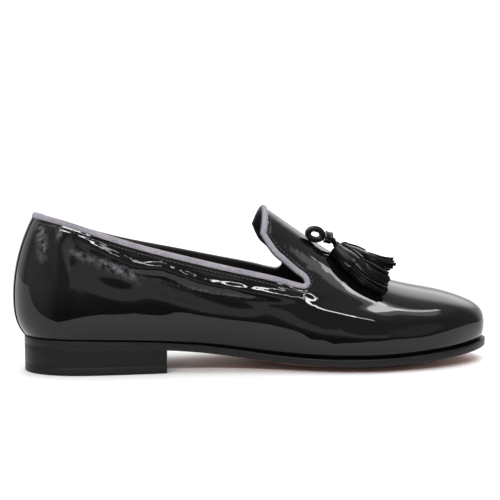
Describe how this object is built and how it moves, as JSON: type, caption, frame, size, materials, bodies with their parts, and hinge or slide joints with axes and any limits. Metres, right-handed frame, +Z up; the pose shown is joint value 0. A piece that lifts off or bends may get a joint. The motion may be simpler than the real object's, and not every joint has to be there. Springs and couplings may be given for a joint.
{
  "type": "tuxedo loafer",
  "caption": "Left men's slip-on evening loafer in black patent leather with a ribbon-bound topline, leather tassels on the vamp, a leather sole and a low stacked heel.",
  "frame": {"origin": "middle of the shoe's bounding box on the floor plane", "axes": "+X along the foot towards the toe, -Y towards the inner (medial) side, +Z up from the floor"},
  "size_m": [0.2974, 0.1011, 0.0997],
  "materials": {
    "patent_leather": "high-gloss patent coat",
    "grosgrain_ribbon": "ribbed silk ribbon",
    "sock_leather": "matte",
    "sole_leather": "waxed edge",
    "heel_leather": "waxed edge",
    "heel_rubber": "satin",
    "tassel_leather": "polished"
  },
  "bodies": {
    "root": {"upper": "patent_leather", "back_strip": "patent_leather", "topline_binding": "grosgrain_ribbon", "insole": "sock_leather", "outsole": "sole_leather", "heel_block": "heel_leather", "top_lift": "heel_rubber", "tassel_ring": "tassel_leather", "tassel_keeper": "tassel_leather", "tassel_medial": "tassel_leather", "tassel_lateral": "tassel_leather"}
  },
  "joints": []
}
